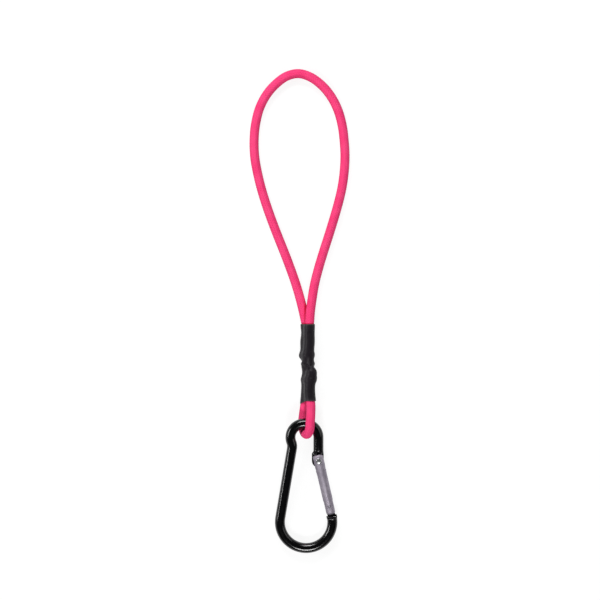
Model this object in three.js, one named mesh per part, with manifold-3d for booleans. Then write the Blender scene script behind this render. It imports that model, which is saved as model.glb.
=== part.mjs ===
// A bungee loop with a carabiner, in millimetres, lying flat on a surface at z = 0.
// One elastic cord makes a large free loop and a small bight. Two wire rings crimp its strands
// together under a shrink sleeve, and the bight holds the eye of a gourd-shaped carabiner.
// +Y runs from the carabiner to the top of the loop, +Z up, origin under the middle of the whole.

import * as THREE from 'three';
import { mergeVertices } from 'three/addons/utils/BufferGeometryUtils.js';
import Module from 'manifold-3d';

const wasm = await Module();
wasm.setup();

// Fits that several pieces share
const clearance = 0.3;
const overrun = 2;

// Elastic cord: a braided cover round a rubber core
const cordDiameter = 5.4;
const coverWall = 0.6;
const cordSides = 10;
const loopSteps = 38;

// Free loop, from the left strand's mouth in the sleeve, over the top, to the right strand's mouth
const loopRoute = [
  [3.7, -9.4, 3.4], [3.65, -7.6, 3.4], [3.03, -5.0, 3.05], [2.14, -0.9, 2.7], [0.39, 6.25, 2.57],
  [-2.38, 15.8, 2.57], [-5.7, 25.3, 2.57], [-9.3, 34.8, 2.57], [-13.1, 44.3, 2.57], [-16.75, 53.85, 2.57],
  [-20.1, 63.4, 2.57], [-23.0, 72.9, 2.57], [-25.3, 82.4, 2.57], [-26.9, 91.9, 2.57], [-27.25, 101.4, 2.57],
  [-26.4, 111.0, 2.57], [-24.0, 120.5, 2.57], [-19.9, 128.5, 2.57], [-14.6, 134.7, 2.57], [-7.9, 139.6, 2.57],
  [-0.8, 141.2, 2.57], [6.4, 139.1, 2.57], [13.3, 134.0, 2.57], [18.5, 127.7, 2.57], [22.5, 120.0, 2.57],
  [25.1, 111.0, 2.57], [26.4, 101.4, 2.57], [26.9, 91.9, 2.57], [26.4, 82.4, 2.57], [25.05, 72.9, 2.57],
  [22.8, 63.4, 2.57], [20.05, 53.85, 2.57], [17.1, 44.3, 2.57], [14.05, 34.8, 2.57], [11.2, 25.3, 2.6],
  [8.8, 15.8, 3.0], [7.2, 6.25, 4.4], [6.25, -0.9, 6.9], [5.95, -5.0, 8.2], [5.75, -7.6, 8.75], [5.7, -9.4, 8.85],
];

// Strand that goes right through the sleeve: in at the upper right, out at the lower left
const throughRun = [
  [5.7, -9.7, 8.85], [5.6, -13.4, 8.9], [5.65, -18.7, 8.75], [5.35, -22.5, 8.85], [5.15, -24.8, 8.55],
  [5.05, -26.5, 8.2], [4.95, -28.4, 8.4], [4.85, -30.5, 7.5], [4.75, -32.7, 5.6], [4.7, -35.0, 4.2],
  [4.6, -37.3, 3.7], [4.5, -39.1, 3.95], [4.4, -40.8, 4.1], [4.25, -42.5, 3.85], [4.05, -46.1, 3.4],
  [3.7, -50.9, 3.45], [3.1, -55.3, 3.4],
];

// Bight below the sleeve, round the carabiner's bar and back up in front
const bightRun = [
  [2.5, -59.5, 3.0], [2.0, -63.3, 2.75], [1.65, -67.07, 2.85], [1.82, -69.5, 3.31], [2.3, -71.56, 4.59],
  [3.02, -72.94, 6.52], [3.87, -73.42, 8.8], [4.72, -72.94, 11.08], [5.44, -71.56, 13.01], [5.92, -69.5, 14.3],
  [6.09, -67.07, 14.75], [6.3, -64.2, 14.55], [6.5, -60.5, 13.1],
];

// Cut end of that strand, back inside the sleeve
const lowerEndRun = [
  [6.55, -56.7, 10.5], [6.35, -53.8, 9.2], [6.05, -50.9, 8.95], [5.8, -46.1, 8.95], [6.05, -42.6, 8.6],
  [6.25, -40.8, 8.0], [6.5, -39.1, 8.6], [6.85, -37.6, 9.0], [6.9, -36.6, 9.1],
];

// Other cut end: the left strand of the free loop, just inside the sleeve
const upperEndRun = [
  [3.7, -9.7, 3.4], [4.05, -13.4, 3.4], [3.5, -18.7, 3.4], [3.6, -22.5, 3.4], [3.45, -24.8, 3.75],
  [3.3, -26.5, 4.1], [3.1, -27.9, 3.95],
];

// Crimp rings: short lengths of wire bent round both strands, which they squeeze
const crimpWire = 1.2;
const crimpPlaces = [-26.5, -40.8];
const crimpMouth = 0.8;
const crimpSpread = 1.8;
const squeezeShare = 0.315;
const crimpSteps = 28;
const wireSides = 8;

// Shrink sleeve
const sleeveTop = -8.2;
const sleeveBottom = -55.2;
const sleeveWall = 0.4;
const sleeveFit = 0.3;
const sleeveDrape = 3;
const sleeveSlant = 1.3;
const sleeveSteps = 36;
const sleeveSides = 20;

// Carabiner frame: a round bar bent to a gourd outline and pressed flat at both ends
const barDiameter = 6;
const barSides = 16;
const eyeRadius = 8.3;
const basketRadius = 15.6;
const basketDrop = 50.8;
const basketOffset = 1;
const waistRadius = 7;
const waistDepth = 2.08;
const armLength = 7.8;
const pressLength = 2.2;
const tongueThickness = 1.6;
const pressSquareness = 3;
const pressSteps = 3;
const basketSteps = 28;
const waistSteps = 6;
const eyeSteps = 18;
const outlineSteps = 8;

// Where the bar's middle crosses the hollow of the bight, and how far that is from the top of the eye
const crossing = [3.95, -67.07, 8.8];
const crossingOffset = 1.2;

// Hinge: the gate's fork straddles the frame's tongue on a rivet
const hingeOffset = 0.2;
const hingeDrop = 13.9;
const tongueInnerReach = 4.1;
const tongueOuterReach = 2.9;
const camReach = 3.4;
const camCorner = 2;
const rivetDiameter = 2.4;
const rivetHead = 3.4;
const rivetHeadDepth = 0.5;
const rivetProud = 0.2;

// Gate: a round rod, wider at the hinge, slotted at both ends and bored for its spring
const gateDiameter = 5.8;
const gateHingeDiameter = 6.5;
const gateHingeEnd = 3.7;
const gateShoulder = 9;
const gateEndSag = 1.4;
const gateCornerRadius = 1.5;
const forkFloor = 5.9;
const gateSides = 28;
const domeSteps = 6;
const cornerSteps = 5;

// Latch: a pin across the gate drops into a notch in the frame's nose
const noseRoot = 2;
const noseShow = 3;
const noseWidth = 4.6;
const noseShoulderWidth = 6.2;
const noseTipRadius = 1.2;
const latchInset = 5.5;
const noseHook = 2.6;
const latchPinDiameter = 1.8;
const latchPinChamfer = 0.3;

// Spring and plunger in the gate's bore
const boreDiameter = 3.4;
const boreShare = 0.605;
const plungerDiameter = 2.5;
const plungerHead = 3.1;
const plungerStemDiameter = 1.3;
const plungerStem = 3;
const springDiameter = 2.8;
const springWire = 0.4;
const springTurns = 9;
const turnSteps = 8;
const springSides = 5;

function toManifold(geometry) {
  const plain = geometry.clone();
  plain.deleteAttribute('normal');
  plain.deleteAttribute('uv');
  const merged = mergeVertices(plain);
  return new wasm.Manifold(new wasm.Mesh({
    numProp: 3,
    vertProperties: new Float32Array(merged.attributes.position.array),
    triVerts: new Uint32Array(merged.index.array),
  }));
}

function toGeometry(manifold) {
  const mesh = manifold.getMesh();
  const geometry = new THREE.BufferGeometry();
  geometry.setAttribute('position', new THREE.BufferAttribute(new Float32Array(mesh.vertProperties), mesh.numProp));
  geometry.setIndex([...mesh.triVerts]);
  return geometry;
}

function cut(geometry, ...cutters) {
  return toGeometry(cutters.reduce((body, cutter) => body.subtract(toManifold(cutter)), toManifold(geometry)));
}

function join(...geometries) {
  return toGeometry(geometries.map(toManifold).reduce((body, next) => body.add(next)));
}

// Closed skin through rings of points. With inner rings it is a shell, open at both ends.
function loft(rings, innerRings) {
  const count = rings[0].length;
  const points = [...rings.flat(), ...(innerRings ?? []).flat()];
  const index = [];
  const quad = (a, b, c, d) => index.push(a, b, c, a, c, d);
  const last = (rings.length - 1) * count;
  const inner = rings.length * count;
  for (let i = 0; i < rings.length - 1; i++) {
    for (let k = 0; k < count; k++) {
      const a = i * count + k;
      const b = i * count + (k + 1) % count;
      quad(a, b, b + count, a + count);
      if (innerRings) quad(inner + a, inner + a + count, inner + b + count, inner + b);
    }
  }
  for (let k = 0; k < count; k++) {
    const next = (k + 1) % count;
    if (innerRings) {
      quad(k, inner + k, inner + next, next);
      quad(last + k, last + next, inner + last + next, inner + last + k);
    } else if (k > 0 && next > 0) {
      index.push(0, next, k);
      index.push(last, last + k, last + next);
    }
  }
  if (volumeOf(points, index) < 0) index.reverse();
  const geometry = new THREE.BufferGeometry().setFromPoints(points);
  geometry.setIndex(index);
  return geometry;
}

function volumeOf(points, index) {
  let total = 0;
  const normal = new THREE.Vector3();
  for (let i = 0; i < index.length; i += 3) {
    normal.crossVectors(points[index[i + 1]], points[index[i + 2]]);
    total += points[index[i]].dot(normal);
  }
  return total;
}

function polygon(radius, sides) {
  const turn = (k) => (k + 0.5) * 2 * Math.PI / sides;
  return Array.from({ length: sides }, (_, k) => new THREE.Vector2(Math.cos(turn(k)), Math.sin(turn(k)))
    .multiplyScalar(radius));
}

// A turned piece about the Z axis, from a half outline of [radius, height] pairs
function turned(outline) {
  const profile = outline.map(([radius, height]) => new THREE.Vector2(radius, height));
  return new THREE.LatheGeometry(profile, gateSides).rotateX(Math.PI / 2);
}

// A pressed end of the bar, as thick as the tongue, from its outline
function plate(shape) {
  return new THREE.ExtrudeGeometry(shape, { depth: tongueThickness, bevelEnabled: false, curveSegments: outlineSteps })
    .translate(0, 0, -tongueThickness / 2);
}

// Elastic cord

const coreRadius = cordDiameter / 2 - coverWall - clearance;

function curveThrough(route) {
  return new THREE.CatmullRomCurve3(route.map(([x, y, z]) => new THREE.Vector3(x, y, z)));
}

function looseRun(route, radius, bore) {
  const section = new THREE.Shape(polygon(radius, cordSides));
  if (bore) section.holes.push(new THREE.Path(polygon(bore, cordSides).reverse()));
  return new THREE.ExtrudeGeometry(section, { steps: loopSteps, extrudePath: curveThrough(route), bevelEnabled: false });
}

// How far the crimp rings squeeze the cord at a place along the sleeve, as a share of its radius
function squeezeAt(y) {
  const bites = crimpPlaces.map((place) => Math.exp(-(((y - place) / crimpSpread) ** 2)));
  return 1 - squeezeShare * Math.max(...bites);
}

// A run that the rings squeeze has one ring of points at each point of its route
function squeezedRings(route, radius) {
  const curve = curveThrough(route);
  const side = new THREE.Vector3(0, 0, 1);
  return route.map(([x, y, z], i) => {
    const along = curve.getTangent(i / (route.length - 1));
    side.addScaledVector(along, -side.dot(along)).normalize();
    const across = new THREE.Vector3().crossVectors(along, side);
    return polygon(radius * squeezeAt(y), cordSides).map((p) => new THREE.Vector3(x, y, z)
      .addScaledVector(side, p.x).addScaledVector(across, p.y));
  });
}

function coverOf(route) {
  return loft(squeezedRings(route, cordDiameter / 2), squeezedRings(route, cordDiameter / 2 - coverWall));
}

function coreOf(route) {
  return loft(squeezedRings(route, coreRadius));
}

const eyeRoute = [...throughRun, ...bightRun, ...lowerEndRun];

// Outline round the strands at a place along the sleeve, a given distance off the cord

function strandAt(run, y) {
  const start = run[0][1];
  const end = run[run.length - 1][1];
  const way = Math.sign(end - start);
  const held = THREE.MathUtils.clamp(y, Math.min(start, end), Math.max(start, end));
  const i = Math.max(run.findIndex((point) => (point[1] - held) * way >= 0), 1);
  const [from, to] = [run[i - 1], run[i]];
  const share = (held - from[1]) / (to[1] - from[1]);
  const lean = Math.abs(to[2] - from[2]) / Math.hypot(to[1] - from[1], to[2] - from[2]);
  const past = Math.max((y - end) * way, 0);
  const drape = run === throughRun ? 1 : Math.max(1 - past / sleeveDrape, 0);
  return {
    x: THREE.MathUtils.lerp(from[0], to[0], share),
    z: THREE.MathUtils.lerp(from[2], to[2], share),
    radius: cordDiameter / 2 * squeezeAt(held) * drape / Math.sqrt(1 - lean ** 2),
  };
}

function wrap(y, away, sides) {
  const strands = [throughRun, upperEndRun, lowerEndRun].map((run) => strandAt(run, y)).filter((s) => s.radius > 0);
  return polygon(1, sides).map((way) => {
    const reach = (s) => s.x * way.x + s.z * way.y + s.radius;
    const far = strands.reduce((best, s) => (reach(s) > reach(best) ? s : best));
    return new THREE.Vector3(far.x + way.x * (far.radius + away), y, far.z + way.y * (far.radius + away));
  });
}

function crimpRing(y) {
  const ring = wrap(y, clearance + crimpWire / 2, crimpSteps);
  const line = new THREE.CatmullRomCurve3(ring, true);
  const mouth = crimpMouth / line.getLength();
  const open = new THREE.CatmullRomCurve3(
    Array.from({ length: crimpSteps + 1 }, (_, i) => line.getPointAt(mouth / 2 + (1 - mouth) * i / crimpSteps)));
  const section = new THREE.Shape(polygon(crimpWire / 2, wireSides));
  return new THREE.ExtrudeGeometry(section, { steps: crimpSteps, extrudePath: open, bevelEnabled: false });
}

// The sleeve follows the strands, swells over the rings and ends on a slant below
function sleeve() {
  const rings = (wall) => Array.from({ length: sleeveSteps + 1 }, (_, i) => {
    const y = THREE.MathUtils.lerp(sleeveTop, sleeveBottom, i / sleeveSteps);
    const over = crimpPlaces.map((place) => Math.exp(-(((y - place) / crimpSpread) ** 2)));
    const swell = (crimpWire + clearance) * Math.max(...over);
    const slant = sleeveSlant * (i / sleeveSteps) ** 8 / (cordDiameter / 2);
    const middle = strandAt(throughRun, y).x;
    return wrap(y, sleeveFit + swell + wall, sleeveSides).map((p) => p.setY(y + (p.x - middle) * slant / 2));
  });
  return loft(rings(sleeveWall), rings(0));
}

// Carabiner, in its own plane: x to the gate's side, y towards the cord, origin at the middle of the eye

const barRadius = barDiameter / 2;
const basket = new THREE.Vector2(basketOffset, -basketDrop);
const rivet = new THREE.Vector2(eyeRadius + hingeOffset, -hingeDrop);

// The gate's axis runs from the rivet and touches the basket's arc, where the nose meets it
const toBasket = basket.clone().sub(rivet);
const gateTilt = Math.atan2(toBasket.y, toBasket.x) + Math.PI - Math.acos(basketRadius / toBasket.length());
const gateReach = Math.sqrt(toBasket.lengthSq() - basketRadius ** 2);
const noseFoot = gateReach + noseRoot;
const gateEnd = noseFoot - noseShow;
const latchReach = gateEnd - latchInset;
const noseReach = latchReach - noseHook;
const slotGap = tongueThickness + 2 * clearance;
const latchSlotFloor = noseReach - 2 * clearance;
const boreDepth = boreShare * (latchSlotFloor - forkFloor);

// The straight spine touches the basket's arc and passes the eye's arc on its inside, by the waist's depth
const spineTilt = Math.atan2(basketDrop, basketOffset)
  - Math.acos((basketRadius - eyeRadius + waistDepth) / basket.length());

function bend(centre, radius, from, to, steps) {
  return Array.from({ length: steps + 1 }, (_, i) => {
    const angle = THREE.MathUtils.lerp(from, to, i / steps);
    const reach = new THREE.Vector2(Math.cos(angle), Math.sin(angle)).multiplyScalar(radius);
    return { at: reach.add(centre), heading: angle + Math.sign(to - from) * Math.PI / 2 };
  });
}

function onward({ at, heading }, distance) {
  return { at: new THREE.Vector2(Math.cos(heading), Math.sin(heading)).multiplyScalar(distance).add(at), heading };
}

// The waist is an arc that touches the straight spine and the eye's arc
function waistCentre() {
  const along = new THREE.Vector2(Math.sin(spineTilt), Math.cos(spineTilt));
  const foot = new THREE.Vector2(-along.y, along.x).multiplyScalar(basketRadius + waistRadius).add(basket);
  const lean = foot.dot(along);
  const rest = (eyeRadius + waistRadius) ** 2 - foot.lengthSq() + lean ** 2;
  return foot.addScaledVector(along, -lean - Math.sqrt(rest));
}

// One ring of the bar: round at press 0, a flat oblong of the given half width at press 1
function barRing({ at, heading }, press, flatHalf) {
  const wide = THREE.MathUtils.lerp(barRadius, flatHalf ?? barRadius, press);
  const thick = THREE.MathUtils.lerp(barRadius, tongueThickness / 2, press);
  const power = 1 / THREE.MathUtils.lerp(1, pressSquareness, press);
  const swell = (value) => Math.sign(value) * Math.abs(value) ** power;
  return polygon(1, barSides).map((p) => new THREE.Vector3(
    at.x - Math.sin(heading) * wide * swell(p.x),
    at.y + Math.cos(heading) * wide * swell(p.x),
    thick * swell(p.y)));
}

// The bar's line runs from the nose round the basket, up the spine, in at the waist, round the eye and down
function bar() {
  const waist = waistCentre();
  const toEye = Math.atan2(-waist.y, -waist.x);
  const line = [
    ...bend(basket, basketRadius, gateTilt - noseRoot / basketRadius, -Math.PI - spineTilt, basketSteps),
    ...bend(waist, waistRadius, -spineTilt, toEye, waistSteps),
    ...bend(new THREE.Vector2(), eyeRadius, toEye + Math.PI, 0, eyeSteps).slice(1),
  ];
  const nose = onward(line[0], -pressLength);
  const arm = onward(line[line.length - 1], armLength);
  const tongueMiddle = rivet.x + (tongueOuterReach - tongueInnerReach) / 2;
  const pressed = (share) => {
    const station = onward(arm, pressLength * share);
    station.at.x = THREE.MathUtils.lerp(arm.at.x, tongueMiddle, share);
    return barRing(station, share, (tongueOuterReach + tongueInnerReach) / 2);
  };
  return loft([
    barRing(nose, 1, noseShoulderWidth / 2),
    ...line.map((station) => barRing(station, 0)),
    ...Array.from({ length: pressSteps + 1 }, (_, i) => pressed(i / pressSteps)),
  ]);
}

// The hinge tongue from above, about the rivet: round inside, with a flat cam below that the plunger rides on
function tongue() {
  const lean = Math.tan(gateTilt);
  const foot = new THREE.Vector2(Math.sin(gateTilt), -Math.cos(gateTilt)).multiplyScalar(camReach);
  const camAt = (x) => foot.y + (x - foot.x) * lean;
  const top = hingeDrop - armLength - pressLength + clearance;
  const camEnd = gateTilt + 1.5 * Math.PI - Math.acos(camReach / tongueInnerReach);
  const outerTurn = tongueOuterReach - camCorner;
  const shape = new THREE.Shape();
  shape.moveTo(tongueOuterReach, top);
  shape.lineTo(-tongueInnerReach, top);
  shape.absarc(0, 0, tongueInnerReach, Math.PI, camEnd, false);
  shape.lineTo(outerTurn, camAt(outerTurn));
  shape.quadraticCurveTo(tongueOuterReach, camAt(tongueOuterReach), tongueOuterReach, camAt(outerTurn) + camCorner);
  shape.holes.push(new THREE.Path().absarc(0, 0, rivetDiameter / 2 + clearance, 0, 2 * Math.PI, true));
  return plate(shape).translate(rivet.x, rivet.y, 0);
}

// The nose from above, along the gate's axis: a shoulder, then a narrow hook with a notch for the latch pin
function nose() {
  const half = noseWidth / 2;
  const wide = noseShoulderWidth / 2;
  const shoulder = gateEnd + clearance;
  const notch = latchPinDiameter / 2 + clearance;
  const tip = -noseReach - noseTipRadius;
  const shape = new THREE.Shape();
  shape.moveTo(wide, -noseFoot + pressLength / 2);
  shape.lineTo(wide, -shoulder);
  shape.lineTo(half, -shoulder);
  shape.lineTo(half, tip);
  shape.absarc(half - noseTipRadius, tip, noseTipRadius, 0, Math.PI / 2, false);
  shape.absarc(noseTipRadius - half, tip, noseTipRadius, Math.PI / 2, Math.PI, false);
  shape.lineTo(-half, notch - latchReach);
  shape.lineTo(0, notch - latchReach);
  shape.absarc(0, -latchReach, notch, Math.PI / 2, -Math.PI / 2, true);
  shape.lineTo(-half, -latchReach - notch);
  shape.lineTo(-half, -shoulder);
  shape.lineTo(-wide, -shoulder);
  shape.lineTo(-wide, -noseFoot + pressLength / 2);
  return plate(shape).rotateZ(gateTilt).translate(rivet.x, rivet.y, 0);
}

// The rivet, or with some growth the hole for it: a shaft with a low head at each end
function rivetBody(growth) {
  const crown = gateHingeDiameter / 2 + rivetProud + growth;
  const shaft = rivetDiameter / 2 + growth;
  const head = rivetHead / 2 + growth;
  const seat = gateHingeDiameter / 2 - rivetHeadDepth - growth;
  const rim = crown - rivetProud;
  return turned([
    [0, -crown], [shaft, -crown], [head, -rim], [head, -seat], [shaft, -seat],
    [shaft, seat], [head, seat], [head, rim], [shaft, crown], [0, crown],
  ]);
}

// Gate, in its own frame: the rivet at the origin and the axis along -y to the latch

function gate() {
  const radius = gateDiameter / 2;
  const hingeRadius = gateHingeDiameter / 2;
  const domeRadius = (radius ** 2 + gateEndSag ** 2) / (2 * gateEndSag);
  const domeTurn = Math.asin(radius / domeRadius);
  const arc = (centre, size, from, to, steps) => bend(centre, size, from, to, steps).map(({ at }) => at);
  const profile = [
    ...arc(new THREE.Vector2(0, domeRadius - gateEnd), domeRadius, -Math.PI / 2, domeTurn - Math.PI / 2, domeSteps),
    new THREE.Vector2(radius, -gateShoulder),
    new THREE.Vector2(hingeRadius, -forkFloor / 2),
    ...arc(new THREE.Vector2(hingeRadius - gateCornerRadius, gateHingeEnd - gateCornerRadius),
      gateCornerRadius, 0, Math.PI / 2, cornerSteps),
    new THREE.Vector2(0, gateHingeEnd),
  ];
  profile[0].x = 0;
  const slot = (from, to) => new THREE.BoxGeometry(gateHingeDiameter * 2, to - from, slotGap)
    .translate(0, (from + to) / 2, 0);
  const bore = new THREE.CylinderGeometry(boreDiameter / 2, boreDiameter / 2, boreDepth + overrun, gateSides)
    .translate(0, -forkFloor - (boreDepth - overrun) / 2, 0);
  return cut(
    new THREE.LatheGeometry(profile, gateSides),
    slot(-forkFloor, gateHingeEnd + overrun),
    slot(-gateEnd - overrun, -latchSlotFloor),
    bore,
    rivetBody(clearance),
    latchPin(clearance).translate(0, -latchReach, 0),
  );
}

function latchPin(growth) {
  const radius = latchPinDiameter / 2 + growth;
  const half = gateDiameter / 2 + growth;
  const end = half - latchPinChamfer;
  return turned([[0, -half], [radius - latchPinChamfer, -half], [radius, -end],
    [radius, end], [radius - latchPinChamfer, half], [0, half]]);
}

const plungerTip = camReach + clearance;
const plungerRadius = plungerDiameter / 2;
const springStart = plungerTip + plungerHead + clearance;
const springEnd = forkFloor + boreDepth - clearance;

function plunger() {
  const stem = plungerStemDiameter / 2;
  const dome = bend(new THREE.Vector2(0, -plungerTip - plungerRadius), plungerRadius, 0, Math.PI / 2, domeSteps);
  dome[dome.length - 1].at.x = 0;
  return new THREE.LatheGeometry([
    new THREE.Vector2(0, -plungerTip - plungerHead - plungerStem),
    new THREE.Vector2(stem, -plungerTip - plungerHead - plungerStem),
    new THREE.Vector2(stem, -plungerTip - plungerHead),
    new THREE.Vector2(plungerRadius, -plungerTip - plungerHead),
    ...dome.map(({ at }) => at),
  ], gateSides);
}

class Helix extends THREE.Curve {
  getPoint(t) {
    const turn = t * springTurns * 2 * Math.PI;
    const radius = (springDiameter - springWire) / 2;
    const along = THREE.MathUtils.lerp(springStart + springWire / 2, springEnd - springWire / 2, t);
    return new THREE.Vector3(radius * Math.cos(turn), -along, radius * Math.sin(turn));
  }
}

function spring() {
  const section = new THREE.Shape(polygon(springWire / 2, springSides));
  return new THREE.ExtrudeGeometry(section, {
    steps: springTurns * turnSteps, extrudePath: new Helix(), bevelEnabled: false,
  });
}

// Assembly

const finish = {
  pinkBraid: { color: 0xf5447f, roughness: 0.75, metalness: 0 },
  rubber: { color: 0xe8dcc8, roughness: 0.9, metalness: 0 },
  shrinkSleeve: { color: 0x2a272c, roughness: 0.55, metalness: 0 },
  steelWire: { color: 0xa8aaad, roughness: 0.35, metalness: 1 },
  blackAnodised: { color: 0x0b0b0d, roughness: 0.2, metalness: 0.6 },
  satinAluminium: { color: 0xa9a6b0, roughness: 0.4, metalness: 1 },
};

function piece(name, geometry, look) {
  geometry.computeVertexNormals();
  const mesh = new THREE.Mesh(geometry, new THREE.MeshStandardMaterial({ ...look, flatShading: true }));
  mesh.name = name;
  return mesh;
}

const cordRadius = cordDiameter / 2;
const crossingDrop = Math.sqrt(eyeRadius ** 2 - crossingOffset ** 2);
const carabinerReach = crossingDrop + basketDrop + basketRadius;

const gateGroup = new THREE.Group();
gateGroup.position.set(rivet.x, rivet.y, 0);
gateGroup.rotation.z = gateTilt;
gateGroup.add(
  piece('gate', gate(), finish.satinAluminium),
  piece('latch_pin', latchPin(0).translate(0, -latchReach, 0), finish.steelWire),
  piece('plunger', plunger(), finish.steelWire),
  piece('gate_spring', spring(), finish.steelWire),
);

const framePlane = new THREE.Group();
framePlane.position.set(-crossingOffset, -crossingDrop, 0);
framePlane.add(
  piece('carabiner_frame', join(bar(), tongue(), nose()), finish.blackAnodised),
  piece('hinge_rivet', rivetBody(0).translate(rivet.x, rivet.y, 0), finish.steelWire),
  gateGroup,
);

// The eye lies on the lower strand of the bight and the far end on the ground, which tilts the carabiner
const carabiner = new THREE.Group();
carabiner.position.set(...crossing);
carabiner.rotation.x = Math.asin((crossing[2] - barRadius) / carabinerReach);
carabiner.add(framePlane);

const whole = new THREE.Group();
whole.add(
  piece('loop_cover', looseRun(loopRoute, cordRadius, cordRadius - coverWall), finish.pinkBraid),
  piece('loop_core', looseRun(loopRoute, coreRadius), finish.rubber),
  piece('eye_cover', coverOf(eyeRoute), finish.pinkBraid),
  piece('eye_core', coreOf(eyeRoute), finish.rubber),
  piece('end_cover', coverOf(upperEndRun), finish.pinkBraid),
  piece('end_core', coreOf(upperEndRun), finish.rubber),
  ...crimpPlaces.map((place, i) => piece(`crimp_ring_${i + 1}`, crimpRing(place), finish.steelWire)),
  piece('shrink_sleeve', sleeve(), finish.shrinkSleeve),
  carabiner,
);

export default whole;
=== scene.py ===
# A bungee loop with a gourd-shaped carabiner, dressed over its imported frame. Everything is in metres.
import math

import bmesh
import bpy
import numpy as np
from mathutils import Matrix, Vector


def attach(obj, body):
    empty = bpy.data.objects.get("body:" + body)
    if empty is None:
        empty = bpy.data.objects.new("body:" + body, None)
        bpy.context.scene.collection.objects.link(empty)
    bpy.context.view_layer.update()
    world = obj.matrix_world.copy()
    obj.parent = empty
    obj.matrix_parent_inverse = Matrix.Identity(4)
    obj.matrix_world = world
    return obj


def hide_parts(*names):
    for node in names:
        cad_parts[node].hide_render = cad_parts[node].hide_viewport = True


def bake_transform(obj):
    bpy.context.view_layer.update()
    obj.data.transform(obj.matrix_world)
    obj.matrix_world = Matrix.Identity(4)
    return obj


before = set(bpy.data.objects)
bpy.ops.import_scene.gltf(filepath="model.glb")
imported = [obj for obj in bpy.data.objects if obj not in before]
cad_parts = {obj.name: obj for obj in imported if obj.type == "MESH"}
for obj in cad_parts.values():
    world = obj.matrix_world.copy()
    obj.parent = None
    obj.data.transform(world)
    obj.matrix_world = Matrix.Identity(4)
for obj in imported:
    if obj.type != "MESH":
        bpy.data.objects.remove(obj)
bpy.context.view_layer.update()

MM = 0.001
ROOT = "cord_and_sleeve"
CLEARANCE = 0.3 * MM

# Camera: straight above, far off with a long lens, framed as the photograph is
PHOTO_PIXELS = 600
PIXEL = 0.595 * MM
VIEW_CENTRE = Vector((0.0001, 0.0063, 0.005))
CAMERA_DISTANCE = 1.6
CLIP_SPAN = 10


def link_object(name, data):
    made = bpy.data.objects.new(name, data)
    bpy.context.scene.collection.objects.link(made)
    return made


def make_camera():
    camera = link_object("photo_camera", bpy.data.cameras.new("photo_camera"))
    camera.location = VIEW_CENTRE + Vector((0, 0, CAMERA_DISTANCE))
    camera.data.lens = camera.data.sensor_width * CAMERA_DISTANCE / (PHOTO_PIXELS * PIXEL)
    camera.data.clip_start = CAMERA_DISTANCE / CLIP_SPAN
    camera.data.clip_end = CAMERA_DISTANCE * CLIP_SPAN
    bpy.context.scene.camera = camera


make_camera()

# Cord: its measures, and its route from the upper cut end, round the free loop, through the sleeve,
# round the carabiner's bar and back to the lower cut end
CORD_RADIUS = 2.7 * MM
UPPER_END = [
    (0.0031, -0.0279, 0.00395), (0.0033, -0.0265, 0.0041), (0.00345, -0.0248, 0.00375),
    (0.0036, -0.0225, 0.0034), (0.0035, -0.0187, 0.0034), (0.00405, -0.0134, 0.0034),
]
FREE_LOOP = [
    (0.0037, -0.0094, 0.0034), (0.00365, -0.0076, 0.0034), (0.00303, -0.005, 0.00305),
    (0.00214, -0.0009, 0.0027), (0.00039, 0.00625, 0.00257), (-0.00238, 0.0158, 0.00257),
    (-0.0057, 0.0253, 0.00257), (-0.0093, 0.0348, 0.00257), (-0.0131, 0.0443, 0.00257),
    (-0.01675, 0.05385, 0.00257), (-0.0201, 0.0634, 0.00257), (-0.023, 0.0729, 0.00257),
    (-0.0253, 0.0824, 0.00257), (-0.0269, 0.0919, 0.00257), (-0.02725, 0.1014, 0.00257),
    (-0.0264, 0.111, 0.00257), (-0.024, 0.1205, 0.00257), (-0.0199, 0.1285, 0.00257),
    (-0.0146, 0.1347, 0.00257), (-0.0079, 0.1396, 0.00257), (-0.0008, 0.1412, 0.00257),
    (0.0064, 0.1391, 0.00257), (0.0133, 0.134, 0.00257), (0.0185, 0.1277, 0.00257),
    (0.0225, 0.12, 0.00257), (0.0251, 0.111, 0.00257), (0.0264, 0.1014, 0.00257),
    (0.0269, 0.0919, 0.00257), (0.0264, 0.0824, 0.00257), (0.02505, 0.0729, 0.00257),
    (0.0228, 0.0634, 0.00257), (0.02005, 0.05385, 0.00257), (0.0171, 0.0443, 0.00257),
    (0.01405, 0.0348, 0.00257), (0.0112, 0.0253, 0.0026), (0.0088, 0.0158, 0.003),
    (0.0072, 0.00625, 0.0044), (0.00625, -0.0009, 0.0069), (0.00595, -0.005, 0.0082),
    (0.00575, -0.0076, 0.00875),
]
THROUGH_SLEEVE = [
    (0.0057, -0.0097, 0.00885), (0.0056, -0.0134, 0.0089), (0.00565, -0.0187, 0.00875),
    (0.00535, -0.0225, 0.00885), (0.00515, -0.0248, 0.00855), (0.00505, -0.0265, 0.0082),
    (0.00495, -0.0284, 0.0084), (0.00485, -0.0305, 0.0075), (0.00475, -0.0327, 0.0056),
    (0.0047, -0.035, 0.0042), (0.0046, -0.0373, 0.0037), (0.0045, -0.0391, 0.00395),
    (0.0044, -0.0408, 0.0041), (0.00425, -0.0425, 0.00385), (0.00405, -0.0461, 0.0034),
    (0.0037, -0.0509, 0.00345), (0.0031, -0.0553, 0.0034),
]
BIGHT = [
    (0.0025, -0.0595, 0.003), (0.002, -0.0633, 0.00275), (0.00165, -0.06707, 0.00285),
    (0.00182, -0.0695, 0.00331), (0.0023, -0.07156, 0.00459), (0.00302, -0.07294, 0.00652),
    (0.00387, -0.07342, 0.0088), (0.00472, -0.07294, 0.01108), (0.00544, -0.07156, 0.01301),
    (0.00592, -0.0695, 0.0143), (0.00609, -0.06707, 0.01475), (0.0063, -0.0642, 0.01455),
    (0.0065, -0.0605, 0.0131),
]
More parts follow.
